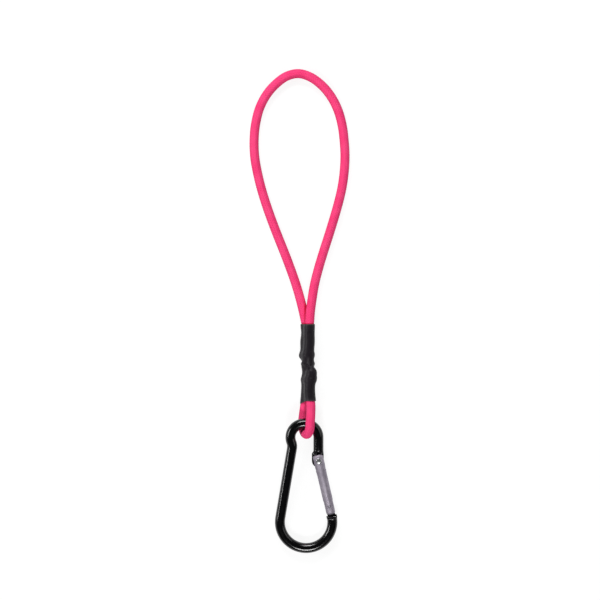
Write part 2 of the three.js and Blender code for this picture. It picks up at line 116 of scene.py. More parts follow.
LOWER_END = [
    (0.00655, -0.0567, 0.0105), (0.00635, -0.0538, 0.0092), (0.00605, -0.0509, 0.00895),
    (0.0058, -0.0461, 0.00895), (0.00605, -0.0426, 0.0086), (0.00625, -0.0408, 0.008),
    (0.0065, -0.0391, 0.0086), (0.00685, -0.0376, 0.009), (0.0069, -0.0366, 0.0091),
]
CORD_ROUTE = UPPER_END + FREE_LOOP + THROUGH_SLEEVE + BIGHT + LOWER_END

# Crimp rings squeeze the cord at two places along the sleeve
CRIMP_PLACES = (-26.5 * MM, -40.8 * MM)
CRIMP_SPREAD = 1.8 * MM
CRIMP_WIRE = 1.2 * MM
SQUEEZE_SHARE = 0.315

# Where the sleeve ends, and how near to it or to another run of cord a surface is darkened with painted
# shade in creases
SLEEVE_TOP = -8.2 * MM
SLEEVE_BOTTOM = -53.4 * MM
CREASE_SHADE_REACH = 1.7 * MM
MOUTH_SHADE_REACH = 0.9 * MM

# How far along the cord another run of it begins, and which of its points are compared: every fourth
OTHER_RUN = 12 * MM
LINE_SKIP = 4

# Braid of the cord's cover: strands each way round the cord, one strand's step along it, how far the braid
# stands up and which height is the cord's own, and how much each strand waves and how round it is
BRAID_STRANDS = 10
BRAID_STEP = 1.55 * MM
BRAID_RELIEF = 0.15 * MM
BRAID_MIDDLE = 0.6
STRAND_WAVE = 0.8
STRAND_ROUND = 1.9

# How finely the cord is drawn, and how far above the floor the cord and the sleeve stay
POINTS_PER_STRAND = 6
RINGS_PER_STEP = 5
CURVE_STEPS = 24
FLOOR_SKIN = 0.03 * MM


def smooth_line(points, step):
    """Points a fixed step apart along a centripetal Catmull-Rom curve, which the CAD route also is."""
    knots = np.array(points, float)
    knots = np.vstack([2 * knots[0] - knots[1], knots, 2 * knots[-1] - knots[-2]])
    gaps = np.sqrt(np.linalg.norm(np.diff(knots, axis=0), axis=1))
    share = np.linspace(0, 1, CURVE_STEPS, endpoint=False)[:, None]
    dense = []
    for i in range(1, len(knots) - 2):
        gap_before, gap, gap_after = gaps[i - 1:i + 2]
        before, start, end, after = knots[i - 1:i + 3]
        leave = (start - before) / gap_before - (end - before) / (gap_before + gap) + (end - start) / gap
        reach = (end - start) / gap - (after - start) / (gap + gap_after) + (after - end) / gap_after
        leave, reach = leave * gap, reach * gap
        cubic = 2 * start - 2 * end + leave + reach
        square = -3 * start + 3 * end - 2 * leave - reach
        dense.append(((cubic * share + square) * share + leave) * share + start)
    dense = np.vstack([*dense, knots[-2:-1]])
    run = np.r_[0, np.cumsum(np.linalg.norm(np.diff(dense, axis=0), axis=1))]
    places = np.linspace(0, run[-1], max(2, round(run[-1] / step)) + 1)
    return np.column_stack([np.interp(places, run, dense[:, k]) for k in range(3)]), places


def frames_along(line):
    """Two directions square to the line at each point, carried along it without twist."""
    along = np.gradient(line, axis=0)
    along /= np.linalg.norm(along, axis=1)[:, None]
    side = np.zeros_like(line)
    side[0] = np.cross(along[0], (0, 0, 1))
    side[0] /= np.linalg.norm(side[0])
    for i in range(1, len(line)):
        carried = side[i - 1] - along[i] * (side[i - 1] @ along[i])
        side[i] = carried / np.linalg.norm(carried)
    return side, np.cross(along, side)


def add_object(name, vertices, faces):
    mesh = bpy.data.meshes.new(name)
    mesh.from_pydata([tuple(v) for v in vertices], [], [tuple(int(i) for i in f) for f in faces])
    mesh.validate()
    return link_object(name, mesh)


def finish_mesh(made, sharp_angle=None):
    """Outward normals and smooth shading, with edges sharper than the angle kept crisp."""
    work = bmesh.new()
    work.from_mesh(made.data)
    bmesh.ops.recalc_face_normals(work, faces=work.faces)
    work.to_mesh(made.data)
    work.free()
    made.data.shade_smooth()
    if sharp_angle is not None:
        made.data.set_sharp_from_angle(angle=math.radians(sharp_angle))
    return made


def grid_faces(rings, count, closed_ends=True):
    """Quads between rings of points, and a fan at each end about one more point."""
    i, k = np.meshgrid(np.arange(rings - 1), np.arange(count), indexing="ij")
    a, b = i * count + k, i * count + (k + 1) % count
    faces = np.stack([a, b, b + count, a + count], -1).reshape(-1, 4).tolist()
    if closed_ends:
        first, last = rings * count, rings * count + 1
        top = (rings - 1) * count
        for k in range(count):
            after = (k + 1) % count
            faces.append([first, after, k])
            faces.append([last, top + k, top + after])
    return faces


# Materials: the numbers of the mix node's sockets for colours, since it has others with the same names,
# then what all noise shares, and the fine marks on satin metal with how much they change its gloss
MIX_FIRST, MIX_SECOND, MIX_COLOUR = 6, 7, 2
NOISE_ROUGHNESS = 0.55
MARKS_SCALE = (2600, 160, 2600)
ROUGHNESS_SPREAD = 0.1


def srgb(red, green, blue):
    """The linear colour of a colour read off a screen as three numbers up to 255."""
    def linear(value):
        value /= 255
        return value / 12.92 if value <= 0.04045 else ((value + 0.055) / 1.055) ** 2.4
    return linear(red), linear(green), linear(blue), 1


def set_stops(ramp, stops):
    """Gives a colour ramp its stops, each a position and a colour or a grey."""
    while len(ramp.elements) < len(stops):
        ramp.elements.new(0.5)
    for element, (position, colour) in zip(ramp.elements, stops):
        element.position = position
        element.color = colour if isinstance(colour, tuple) else (colour, colour, colour, 1)


class Look:
    """A node material with short calls for its nodes and links."""

    def __init__(self, name, **shader_values):
        self.material = bpy.data.materials.new(name)
        self.material.use_nodes = True
        self.tree = self.material.node_tree
        self.shader = self.tree.nodes["Principled BSDF"]
        for socket, value in shader_values.items():
            self.shader.inputs[socket.replace("_", " ")].default_value = value

    def node(self, kind, values=None, **settings):
        made = self.tree.nodes.new(kind)
        for key, value in settings.items():
            setattr(made, key, value)
        for socket, value in (values or {}).items():
            if isinstance(value, bpy.types.NodeSocket):
                self.tree.links.new(value, made.inputs[socket])
            else:
                made.inputs[socket].default_value = value
        return made

    def place(self, scale=(1, 1, 1), turn=(0, 0, 0), source=None):
        """Object coordinates, or others, scaled and turned."""
        at = source or self.node("ShaderNodeTexCoord").outputs["Object"]
        values = {"Vector": at, "Scale": scale, "Rotation": turn}
        return self.node("ShaderNodeMapping", values).outputs["Vector"]

    def noise(self, scale, detail, at=None):
        at = at or self.place()
        values = {"Vector": at, "Scale": scale, "Detail": detail, "Roughness": NOISE_ROUGHNESS}
        return self.node("ShaderNodeTexNoise", values).outputs["Fac"]

    def ramp(self, value, stops):
        made = self.node("ShaderNodeValToRGB", {"Fac": value})
        set_stops(made.color_ramp, stops)
        return made.outputs["Color"]

    def mix(self, share, first, second, how="MIX"):
        values = {"Factor": share, MIX_FIRST: first, MIX_SECOND: second}
        made = self.node("ShaderNodeMix", values, data_type="RGBA", blend_type=how)
        return made.outputs[MIX_COLOUR]

    def math(self, how, first, second):
        return self.node("ShaderNodeMath", {0: first, 1: second}, operation=how).outputs[0]

    def bump(self, *layers):
        """Bumps one over another, each a height, a strength and a depth in metres."""
        normal = None
        for height, strength, depth in layers:
            values = {"Height": height, "Strength": strength, "Distance": depth}
            if normal:
                values["Normal"] = normal
            normal = self.node("ShaderNodeBump", values).outputs["Normal"]
        self.set("Normal", normal)

    def set(self, socket, value):
        self.tree.links.new(value, self.shader.inputs[socket])


def braid_look():
    """Pink yarn: filaments along each strand, painted shade in dark crimson between strands and in creases,
    a little uneven.
    """
    look = Look("pink_braid", Specular_IOR_Level=0.08)
    yarn = look.node("ShaderNodeUVMap", uv_map="Yarn").outputs["UV"]
    across = look.node("ShaderNodeSeparateXYZ", {"Vector": yarn}).outputs["X"]
    across = look.math("PINGPONG", across, 0.5)
    across = look.math("MULTIPLY", across, 2.0)
    crown = look.ramp(across, [(0.0, 0.0), (0.22, 0.5), (0.55, 0.88), (1.0, 1.0)])
    filaments = look.noise(1, 2, look.place((9, 1.3, 1), source=yarn))
    relief = look.node("ShaderNodeAttribute", attribute_name="relief").outputs["Fac"]
    tone = look.ramp(look.noise(160, 2), [(0.35, srgb(248, 64, 124)), (0.65, srgb(254, 76, 134))])
    # Painted shade: the braid's low places between its strands are darkened towards deep crimson
    under = look.ramp(relief, [(0.2, srgb(170, 10, 60)), (0.7, srgb(255, 255, 255))])
    shaded = look.mix(0.85, tone, under, "MULTIPLY")
    # Painted shade: darker crimson where the cord lies against another run of itself or just above the
    # sleeve's mouth
    crease_shade = look.node("ShaderNodeAttribute", attribute_name="crease_shade").outputs["Fac"]
    crimson = [(0.0, srgb(255, 255, 255)), (0.5, srgb(225, 110, 150)), (0.9, srgb(200, 30, 90))]
    shaded = look.mix(1.0, shaded, look.ramp(crease_shade, crimson), "MULTIPLY")
    fibre = look.ramp(filaments, [(0.3, 0.84), (0.7, 1.0)])
    look.set("Base Color", look.mix(0.5, shaded, fibre, "MULTIPLY"))
    look.set("Roughness", look.ramp(filaments, [(0.2, 0.62), (0.8, 0.82)]))
    look.bump((crown, 0.55, 0.12 * MM), (filaments, 0.4, 0.06 * MM))
    return look.material


def sleeve_look():
    """Shrunk polyolefin: charcoal satin with a faint grain, and a painted highlight that makes it paler
    along its two cut rims.
    """
    look = Look("shrink_sleeve", Specular_IOR_Level=0.25)
    rim = look.node("ShaderNodeAttribute", attribute_name="rim").outputs["Fac"]
    tone = look.ramp(look.noise(220, 4), [(0.3, srgb(15, 9, 16)), (0.7, srgb(24, 18, 26))])
    # Painted highlight: the base colour turns paler grey along the sleeve's two cut rims
    look.set("Base Color", look.mix(rim, tone, srgb(58, 60, 58)))
    look.set("Roughness", look.ramp(look.noise(900, 3), [(0.3, 0.42), (0.7, 0.6)]))
    look.bump((look.noise(2400, 3), 0.25, 0.05 * MM), (look.noise(420, 3), 0.35, 0.15 * MM))
    return look.material


def anodised_look():
    """Gloss black anodised bar, its tone and gloss a little uneven."""
    look = Look("black_anodised")
    look.set("Base Color", look.ramp(look.noise(90, 5), [(0.35, srgb(2, 2, 3)), (0.75, srgb(4, 4, 5))]))
    look.set("Roughness", look.ramp(look.noise(500, 4), [(0.35, 0.16), (0.75, 0.24)]))
    look.bump((look.noise(900, 2), 0.05, 0.02 * MM))
    return look.material


# The darker and the paler tone of plain steel
STEEL = srgb(178, 180, 184), srgb(205, 207, 210)


def satin_look(name, tilt, colour_low, colour_high, roughness=0.55):
    """Tumbled aluminium or steel, with fine marks along the piece."""
    look = Look(name, Metallic=1.0, Specular_Tint=(0.45, 0.45, 0.48, 1))
    marks = look.noise(1, 4, look.place(MARKS_SCALE, (0, 0, tilt)))
    look.set("Base Color", look.ramp(look.noise(260, 4), [(0.3, colour_low), (0.7, colour_high)]))
    smoother, rougher = (1 - ROUGHNESS_SPREAD) * roughness, (1 + ROUGHNESS_SPREAD) * roughness
    look.set("Roughness", look.ramp(marks, [(0.3, smoother), (0.7, rougher)]))
    look.bump((marks, 0.08, 0.01 * MM))
    return look.material


# Cord: the braid's height, the squeeze and the painted shade in creases, and one mesh along the whole route


def braid(around, along):
    """The surface's height at places counted in strands, from 0 to 1, and where the first set is on top.

    Each strand goes over two and under two of the other set, one strand later than its neighbour.
    """
    a, b = around + along, around - along
    across_a, across_b = a - np.floor(a) - 0.5, b - np.floor(b) - 0.5
    quarter = math.pi / 2
    wave_a = np.cos(quarter * (b + np.floor(a) - 1))
    wave_b = np.cos(quarter * (a + np.floor(b) - 3))
    height_a = np.sqrt(np.maximum(1 - (STRAND_ROUND * across_a) ** 2, 0)) + STRAND_WAVE * wave_a
    height_b = np.sqrt(np.maximum(1 - (STRAND_ROUND * across_b) ** 2, 0)) + STRAND_WAVE * wave_b
    top = np.maximum(height_a, height_b)
    return np.clip(top / (1 + STRAND_WAVE), 0, 1), height_a >= height_b


def squeeze_at(y):
    """The share of the cord's thickness that the crimp rings leave at a place along the sleeve."""
    bites = [np.exp(-(((y - place) / CRIMP_SPREAD) ** 2)) for place in CRIMP_PLACES]
    return 1 - SQUEEZE_SHARE * np.maximum(*bites)


def crease_shade_at(points, line, places):
    """How much painted shade each point gets in creases, by another run of the cord or above the sleeve,
    from 0 to 1.
    """
    far = np.abs(places[:, None] - places[None, ::LINE_SKIP]) > OTHER_RUN
    nearest = np.empty(points.shape[:2])
    for ring, others in enumerate(far):
        apart = points[ring][:, None] - line[::LINE_SKIP][others][None]
        nearest[ring] = np.sqrt((apart ** 2).sum(2).min(1))
    beside = 1 - (nearest - CORD_RADIUS) / CREASE_SHADE_REACH
    above = 1 - (points[..., 1] - SLEEVE_TOP) / MOUTH_SHADE_REACH
    return np.clip(np.maximum(beside, above * (points[..., 1] > SLEEVE_TOP)), 0, 1)


def make_cord():
    line, places = smooth_line(CORD_ROUTE, BRAID_STEP / RINGS_PER_STEP)
    side, up = frames_along(line)
    count = BRAID_STRANDS * POINTS_PER_STRAND
    turn = np.arange(count) / count
    around, along = np.meshgrid(turn * BRAID_STRANDS, places / BRAID_STEP)
    relief, _ = braid(around, along)
    radius = (CORD_RADIUS * squeeze_at(line[:, 1]))[:, None] + BRAID_RELIEF * (relief - BRAID_MIDDLE)
    angle = turn * 2 * math.pi
    points = (line[:, None] + radius[..., None] * (
        np.cos(angle)[None, :, None] * side[:, None] + np.sin(angle)[None, :, None] * up[:, None]))
    points[..., 2] = np.maximum(points[..., 2], FLOOR_SKIN)
    vertices = np.vstack([points.reshape(-1, 3), line[0], line[-1]])
    cord = add_object("bungee_cord", vertices, grid_faces(len(line), count))
    finish_mesh(cord)
    store_weave(cord, relief, crease_shade_at(points, line, places), count)
    cord.data.materials.append(braid_look())
    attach(cord, ROOT)
    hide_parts("loop_cover", "loop_core", "eye_cover", "eye_core", "end_cover", "end_core")


def store_weave(cord, relief, crease_shade, count):
    """Relief and painted shade of creases on each point, and for each corner its place across and along the
    strand on top.
    """
    mesh = cord.data
    for name, values in (("relief", relief), ("crease_shade", crease_shade)):
        stored = mesh.attributes.new(name, "FLOAT", "POINT")
        stored.data.foreach_set("value", np.r_[values.ravel(), 0, 0].astype(np.float32))
    loops = np.zeros(len(mesh.loops), int)
    mesh.loops.foreach_get("vertex_index", loops)
    starts = np.zeros(len(mesh.polygons), int)
    mesh.polygons.foreach_get("loop_start", starts)
    sizes = np.zeros(len(mesh.polygons), int)
    mesh.polygons.foreach_get("loop_total", sizes)
    owner = np.repeat(np.arange(len(starts)), sizes)
    ring, step = np.divmod(np.minimum(loops, relief.size - 1), count)
    around = step / POINTS_PER_STRAND
    along = ring / RINGS_PER_STEP
    closes_ring = np.maximum.reduceat(around, starts)[owner] > 1
    around = np.where((around == 0) & closes_ring, BRAID_STRANDS, around)
    middle_around = np.add.reduceat(around, starts) / sizes
    middle_along = np.add.reduceat(along, starts) / sizes
    _, first = braid(middle_around, middle_along)
    uv = np.where(first[owner][:, None], np.stack([around + along, around - along], 1),
                  np.stack([around - along, around + along], 1))
    layer = mesh.uv_layers.new(name="Yarn")
    layer.data.foreach_set("uv", uv.astype(np.float32).ravel())


make_cord()

# Shrink sleeve: its wall and its gap to the cord, the slant of its lower end, how it hangs past a cut end
# and sags between the strands, and how wide the painted highlight along its cut rims is
SLEEVE_WALL = 0.45 * MM
SLEEVE_SKIN = 0.12 * MM
SLEEVE_SLANT = 2 * MM
SLANT_START = 3.6 * MM
SLANT_POWER = 8
SLEEVE_DRAPE = 5 * MM
SLEEVE_SAG = 0.55
RIM_HIGHLIGHT_FADE = 0.35 * MM

# How finely the sleeve is drawn, and the least distance that is divided by
SMOOTH_RINGS = 3
SLEEVE_RINGS = 260
SLEEVE_POINTS = 120
OUTLINE_WAYS = 720
STRAND_STEP = 0.3 * MM
LEAST_WAY = 0.1 * MM


def strand_line(route):
    """A run of the cord in the sleeve as y, x, z and how much longer its section is where it leans."""
    line, _ = smooth_line(route, STRAND_STEP)
    line = line[np.argsort(line[:, 1])]
    slope = np.gradient(line[:, 2], line[:, 1])
    return np.column_stack([line[:, 1], line[:, 0], line[:, 2], np.sqrt(1 + slope ** 2)])


THROUGH_LINE = strand_line(FREE_LOOP[-4:] + THROUGH_SLEEVE + BIGHT[:1])
UPPER_LINE = strand_line(UPPER_END + FREE_LOOP[:4])
LOWER_LINE = strand_line(BIGHT[-2:] + LOWER_END)


def strand_at(line, y):
    """Middle and radius of a strand at a place along the sleeve. Past a cut end the radius fades away."""
    held = np.clip(y, line[0, 0], line[-1, 0])
    x, z, longer = (np.interp(held, line[:, 0], line[:, k]) for k in (1, 2, 3))
    past = max(line[0, 0] - y, y - line[-1, 0])
    fade = 1 if line is THROUGH_LINE else np.clip(1 - past / SLEEVE_DRAPE, 0, 1)
    return x, z, CORD_RADIUS * squeeze_at(held) * fade * longer


def sleeve_outline(y, away, sag):
    """Points evenly round the strands at a place along the sleeve, off them and sagging between them."""
    strands = [strand_at(line, y) for line in (THROUGH_LINE, UPPER_LINE, LOWER_LINE)]
    turn = np.linspace(0, 2 * math.pi, OUTLINE_WAYS, endpoint=False) + math.pi / 2
    ways = np.stack([np.cos(turn), np.sin(turn)], 1)
    reach = np.stack([ways[:, 0] * x + ways[:, 1] * z + r if r > 0 else np.full(len(ways), -np.inf)
                      for x, z, r in strands])
    chosen = reach.argmax(0)
    middles = np.array([(x, z) for x, z, _ in strands])[chosen]
    radii = np.array([r for *_, r in strands])[chosen]
    ring = middles + ways * (radii + away)[:, None]
    ring = np.vstack([ring, ring[:1]])
    run = np.r_[0, np.cumsum(np.linalg.norm(np.diff(ring, axis=0), axis=1))]
    places = np.linspace(0, run[-1], SLEEVE_POINTS, endpoint=False)
    ring = np.column_stack([np.interp(places, run, ring[:, k]) for k in range(2)])
    held = [(np.array((x, z)), r + away) for x, z, r in strands if r > 0]
    gaps = np.stack([np.linalg.norm(ring - middle, axis=1) - radius for middle, radius in held])
    nearest = np.array([middle for middle, _ in held])[gaps.argmin(0)]
    way = (ring - nearest) / np.linalg.norm(ring - nearest, axis=1)[:, None]
    return ring - way * (sag * np.maximum(gaps.min(0), 0))[:, None]


def clear_of_cord(ring, y, wall):
    """The ring of the sleeve's points moved out where the cord would come through its wall."""
    for line in (THROUGH_LINE, UPPER_LINE, LOWER_LINE):
        near = line[np.abs(line[:, 0] - y) < 2 * CORD_RADIUS]
        if len(near) == 0:
            continue
        off = ring[:, None] - near[None, :, 1:3]
        radius = CORD_RADIUS * squeeze_at(near[:, 0]) + wall
        reach = np.maximum(radius ** 2 - (near[:, 0] - y) ** 2, 0) ** 0.5
        short = reach - np.linalg.norm(off, axis=2)
        worst = short.argmax(1)
        index = np.arange(len(ring))
        push = np.maximum(short[index, worst], 0)[:, None]
        way = off[index, worst]
        ring = ring + way / np.maximum(np.linalg.norm(way, axis=1), LEAST_WAY)[:, None] * push
    return ring


def sleeve_rings():
    """Outer and inner rings from the top to the slanted lower end, and each ring's share of the length."""
    shares = np.linspace(0, 1, SLEEVE_RINGS)
    skins = ([], [])
    for share in shares:
        y = SLEEVE_TOP + (SLEEVE_BOTTOM - SLEEVE_TOP) * share
        bites = max(math.exp(-(((y - place) / CRIMP_SPREAD) ** 2)) for place in CRIMP_PLACES)
        for wall, rings in zip((SLEEVE_WALL, 0), skins):
            away = wall + SLEEVE_SKIN + (CRIMP_WIRE + CLEARANCE) * bites
            outline = sleeve_outline(y, away, SLEEVE_SAG * (1 - bites))
            x, z = clear_of_cord(outline, y, wall + SLEEVE_SKIN).T
            slant = -SLEEVE_SLANT * share ** SLANT_POWER * np.clip((SLANT_START - x) / SLANT_START, 0, 1)
            rings.append(np.column_stack([x, y + slant, np.maximum(z, FLOOR_SKIN)]))
    return even_out(np.array(skins[0])), even_out(np.array(skins[1])), shares


def even_out(rings):
    """The rings smoothed along the sleeve, mirrored past its ends so that these stay where they are."""
    reach = 3 * SMOOTH_RINGS
    weights = np.exp(-0.5 * (np.arange(-reach, reach + 1) / SMOOTH_RINGS) ** 2)
    weights /= weights.sum()
    before = 2 * rings[:1] - rings[reach:0:-1]
    after = 2 * rings[-1:] - rings[-2:-reach - 2:-1]
    padded = np.concatenate([before, rings, after])
    return sum(weight * padded[i:i + len(rings)] for i, weight in enumerate(weights))


def build_sleeve():
    outer, inner, share = sleeve_rings()
    top_lip, bottom_lip = ((outer[end] + inner[end]) / 2 for end in (0, -1))
    top_lip[:, 1] += SLEEVE_WALL / 2
    bottom_lip[:, 1] -= SLEEVE_WALL / 2
    rings = [top_lip, *outer, bottom_lip, *inner[::-1]]
    count = SLEEVE_POINTS
    vertices = np.vstack(rings)
    faces = grid_faces(len(rings), count, closed_ends=False)
    last = (len(rings) - 1) * count
    faces += [[last + k, last + (k + 1) % count, (k + 1) % count, k] for k in range(count)]
    sleeve = add_object("heat_shrink_sleeve", vertices, faces)
    finish_mesh(sleeve)
    # Painted highlight along the cut rims, fading away from each end
    rim = np.exp(-np.minimum(share, 1 - share) * (SLEEVE_TOP - SLEEVE_BOTTOM) / RIM_HIGHLIGHT_FADE)
    along = np.r_[1, rim, 1, rim[::-1]]
    stored = sleeve.data.attributes.new("rim", "FLOAT", "POINT")
    stored.data.foreach_set("value", np.repeat(along, count).astype(np.float32))
    sleeve.data.materials.append(sleeve_look())
    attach(sleeve, ROOT)
    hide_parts("shrink_sleeve")


build_sleeve()

# Carabiner: its plane has x to the gate's side, y towards the cord and its origin at the middle of the eye.
# First the bar, the arcs it is bent to and how it is pressed flat at its ends.
BAR_RADIUS = 3 * MM
EYE_RADIUS = 8.3 * MM
BASKET_RADIUS = 15.6 * MM
BASKET = Vector((1 * MM, -50.8 * MM))
WAIST_RADIUS = 7 * MM
WAIST_DEPTH = 2.08 * MM
ARM_LENGTH = 7.8 * MM
PRESS_LENGTH = 2.2 * MM

# Where the middle of the bar passes through the bight, and how far that is to the side of the eye's middle
CROSSING = Vector((3.95, -67.07, 8.8)) * MM
CROSSING_OFFSET = 1.2 * MM

# Tongue with its cam, and the rivet through it
RIVET = Vector((EYE_RADIUS + 0.2 * MM, -13.9 * MM))
TONGUE_THICKNESS = 1.6 * MM
TONGUE_INNER = 4.1 * MM
TONGUE_OUTER = 2.9 * MM
CAM_REACH = 3.4 * MM
CAM_CORNER = 2 * MM
RIVET_RADIUS = 1.2 * MM
RIVET_HEAD = 1.7 * MM
RIVET_HEAD_DEPTH = 0.5 * MM
RIVET_PROUD = 0.2 * MM

# Gate, measured from the rivet
GATE_RADIUS = 2.9 * MM
GATE_HINGE_RADIUS = 3.25 * MM
GATE_HINGE_END = 3.7 * MM
GATE_SHOULDER = 9 * MM
GATE_SAG = 1.4 * MM
GATE_CORNER = 1.5 * MM
FORK_FLOOR = 5.9 * MM

# Nose with its notch, and the latch pin
NOSE_ROOT = 2 * MM
NOSE_SHOW = 3 * MM
NOSE_HALF = 2.3 * MM
NOSE_SHOULDER_HALF = 3.1 * MM
NOSE_TIP_RADIUS = 1.2 * MM
NOSE_HOOK = 2.6 * MM
LATCH_INSET = 5.5 * MM
LATCH_PIN_RADIUS = 0.9 * MM
LATCH_PIN_CHAMFER = 0.3 * MM

# Bore, plunger and spring
BORE_RADIUS = 1.7 * MM
BORE_SHARE = 0.605
PLUNGER_HEAD = 3.1 * MM
SPRING_RADIUS = 1.2 * MM
SPRING_WIRE = 0.4 * MM
SPRING_TURNS = 9
SPRING_CLOSED = 0.8

# Gaps, bevels and limits of the modelling, with angles in degrees
FIT_GAP = CLEARANCE / 3
OVERCUT = 2 * MM
SLOT_HALF_WIDTH = 4 * GATE_HINGE_RADIUS
EDGE_WIDTH = 0.06 * MM
GATE_EDGE_WIDTH = 0.1 * MM
BEVEL_SEGMENTS = 2
BEVEL_ANGLE = 38
CRISP_ANGLE = 25
PIN_CRISP_ANGLE = 40
FLAT_ANGLE = 1
WELD = 0.001 * MM
SLIVER = 0.004 * MM

# How finely the metal pieces are drawn
BAR_SIDES = 48
BASKET_STEPS = 110
WAIST_STEPS = 24
EYE_STEPS = 72
PRESS_STEPS = 9
ARC_STEPS = 12
TONGUE_STEPS = 16
NOTCH_STEPS = 16
HOLE_STEPS = 32
CAM_STEPS = 10
DOME_STEPS = 14
GATE_SIDES = 96
RIVET_SIDES = 48
BORE_SIDES = 48
PIN_SIDES = 36
WIRE_SIDES = 12
SPRING_STEPS = 24

# Worked out from the measures above
TO_BASKET = BASKET - RIVET
GATE_TILT = math.atan2(TO_BASKET.y, TO_BASKET.x) + math.pi - math.acos(BASKET_RADIUS / TO_BASKET.length)
GATE_REACH = math.sqrt(TO_BASKET.length_squared - BASKET_RADIUS ** 2)
NOSE_FOOT = GATE_REACH + NOSE_ROOT
GATE_END = NOSE_FOOT - NOSE_SHOW
LATCH_REACH = GATE_END - LATCH_INSET
NOSE_REACH = LATCH_REACH - NOSE_HOOK
SLOT_GAP = TONGUE_THICKNESS + 2 * CLEARANCE
LATCH_SLOT_FLOOR = NOSE_REACH - 2 * CLEARANCE
BORE_END = FORK_FLOOR + BORE_SHARE * (LATCH_SLOT_FLOOR - FORK_FLOOR)
SPRING_ENDS = (CAM_REACH + PLUNGER_HEAD + 2 * CLEARANCE, BORE_END - CLEARANCE)
WAIST_INSET = BASKET_RADIUS - EYE_RADIUS + WAIST_DEPTH
SPINE_TILT = math.atan2(-BASKET.y, BASKET.x) - math.acos(WAIST_INSET / BASKET.length)
CROSSING_DROP = math.sqrt(EYE_RADIUS ** 2 - CROSSING_OFFSET ** 2)
CARABINER_TILT = math.asin((CROSSING.z - BAR_RADIUS) / (CROSSING_DROP - BASKET.y + BASKET_RADIUS))
UPRIGHT = Matrix.Rotation(math.pi / 2, 4, "X")

FRAME_PLACE = (Matrix.Translation(CROSSING) @ Matrix.Rotation(CARABINER_TILT, 4, "X")
               @ Matrix.Translation((-CROSSING_OFFSET, -CROSSING_DROP, 0)))
GATE_PLACE = FRAME_PLACE @ Matrix.Translation((*RIVET, 0)) @ Matrix.Rotation(GATE_TILT, 4, "Z")


def bend(centre, radius, start, end, steps):
    """Places and headings along an arc."""
    way = math.copysign(math.pi / 2, end - start)
    return [(centre + radius * Vector((math.cos(angle), math.sin(angle))), angle + way)
            for angle in np.linspace(start, end, steps + 1)]


def onward(station, distance):
    """A place and heading moved straight on."""
    at, heading = station
    return at + float(distance) * Vector((math.cos(heading), math.sin(heading))), heading


def waist_centre():
    """Middle of the waist's arc, which bends the other way and leads from the spine into the eye."""
    along = Vector((math.sin(SPINE_TILT), math.cos(SPINE_TILT)))
    foot = BASKET + (BASKET_RADIUS + WAIST_RADIUS) * Vector((-along.y, along.x))
    lean = foot.dot(along)
    rest = (EYE_RADIUS + WAIST_RADIUS) ** 2 - foot.length_squared + lean ** 2
    return foot - along * (lean + math.sqrt(rest))


def bar_ring(station, press, half):
    """One ring of the bar: round at press 0, a flat oblong of the given half width at press 1."""
    (x, y), heading = station
    wide = BAR_RADIUS + (half - BAR_RADIUS) * press
    thick = BAR_RADIUS + (TONGUE_THICKNESS / 2 - BAR_RADIUS) * press
    turn = np.arange(BAR_SIDES) / BAR_SIDES * 2 * math.pi
    power = 1 / (1 + 2 * press)
    swell = [np.sign(v) * np.abs(v) ** power for v in (np.cos(turn), np.sin(turn))]
    across, high = wide * swell[0], thick * swell[1]
    return np.column_stack([x - math.sin(heading) * across, y + math.cos(heading) * across, high])


def ease(share):
    return share * share * (3 - 2 * share)


def bar_rings():
    """Rings along the bar: the pressed nose end, basket, spine, waist, eye, arm and pressed tongue end."""
    waist = waist_centre()
    to_eye = math.atan2(-waist.y, -waist.x)
    nose_angle = GATE_TILT - NOSE_ROOT / BASKET_RADIUS
    line = [
        *bend(BASKET, BASKET_RADIUS, nose_angle, -math.pi - SPINE_TILT, BASKET_STEPS),
        *bend(waist, WAIST_RADIUS, -SPINE_TILT, to_eye, WAIST_STEPS),
        *bend(Vector((0, 0)), EYE_RADIUS, to_eye + math.pi, 0, EYE_STEPS)[1:],
    ]
    nose, arm = line[0], onward(line[-1], ARM_LENGTH)
    tongue_middle = RIVET.x + (TONGUE_OUTER - TONGUE_INNER) / 2
    rings = []
    for press in np.linspace(1, 0, PRESS_STEPS)[:-1]:
        rings.append(bar_ring(onward(nose, -PRESS_LENGTH * press), ease(press), NOSE_SHOULDER_HALF))
    rings += [bar_ring(station, 0, BAR_RADIUS) for station in line]
    for press in np.linspace(0, 1, PRESS_STEPS):
        (x, y), heading = onward(arm, PRESS_LENGTH * press)
        x = x + (tongue_middle - x) * ease(press)
        rings.append(bar_ring(((x, y), heading), ease(press), (TONGUE_OUTER + TONGUE_INNER) / 2))
    return rings


def tube(name, rings):
    """A closed tube through rings of points, its ends drawn together in their middles."""
    count = len(rings[0])
    vertices = np.vstack([*rings, rings[0].mean(0), rings[-1].mean(0)])
    return add_object(name, vertices, grid_faces(len(rings), count))


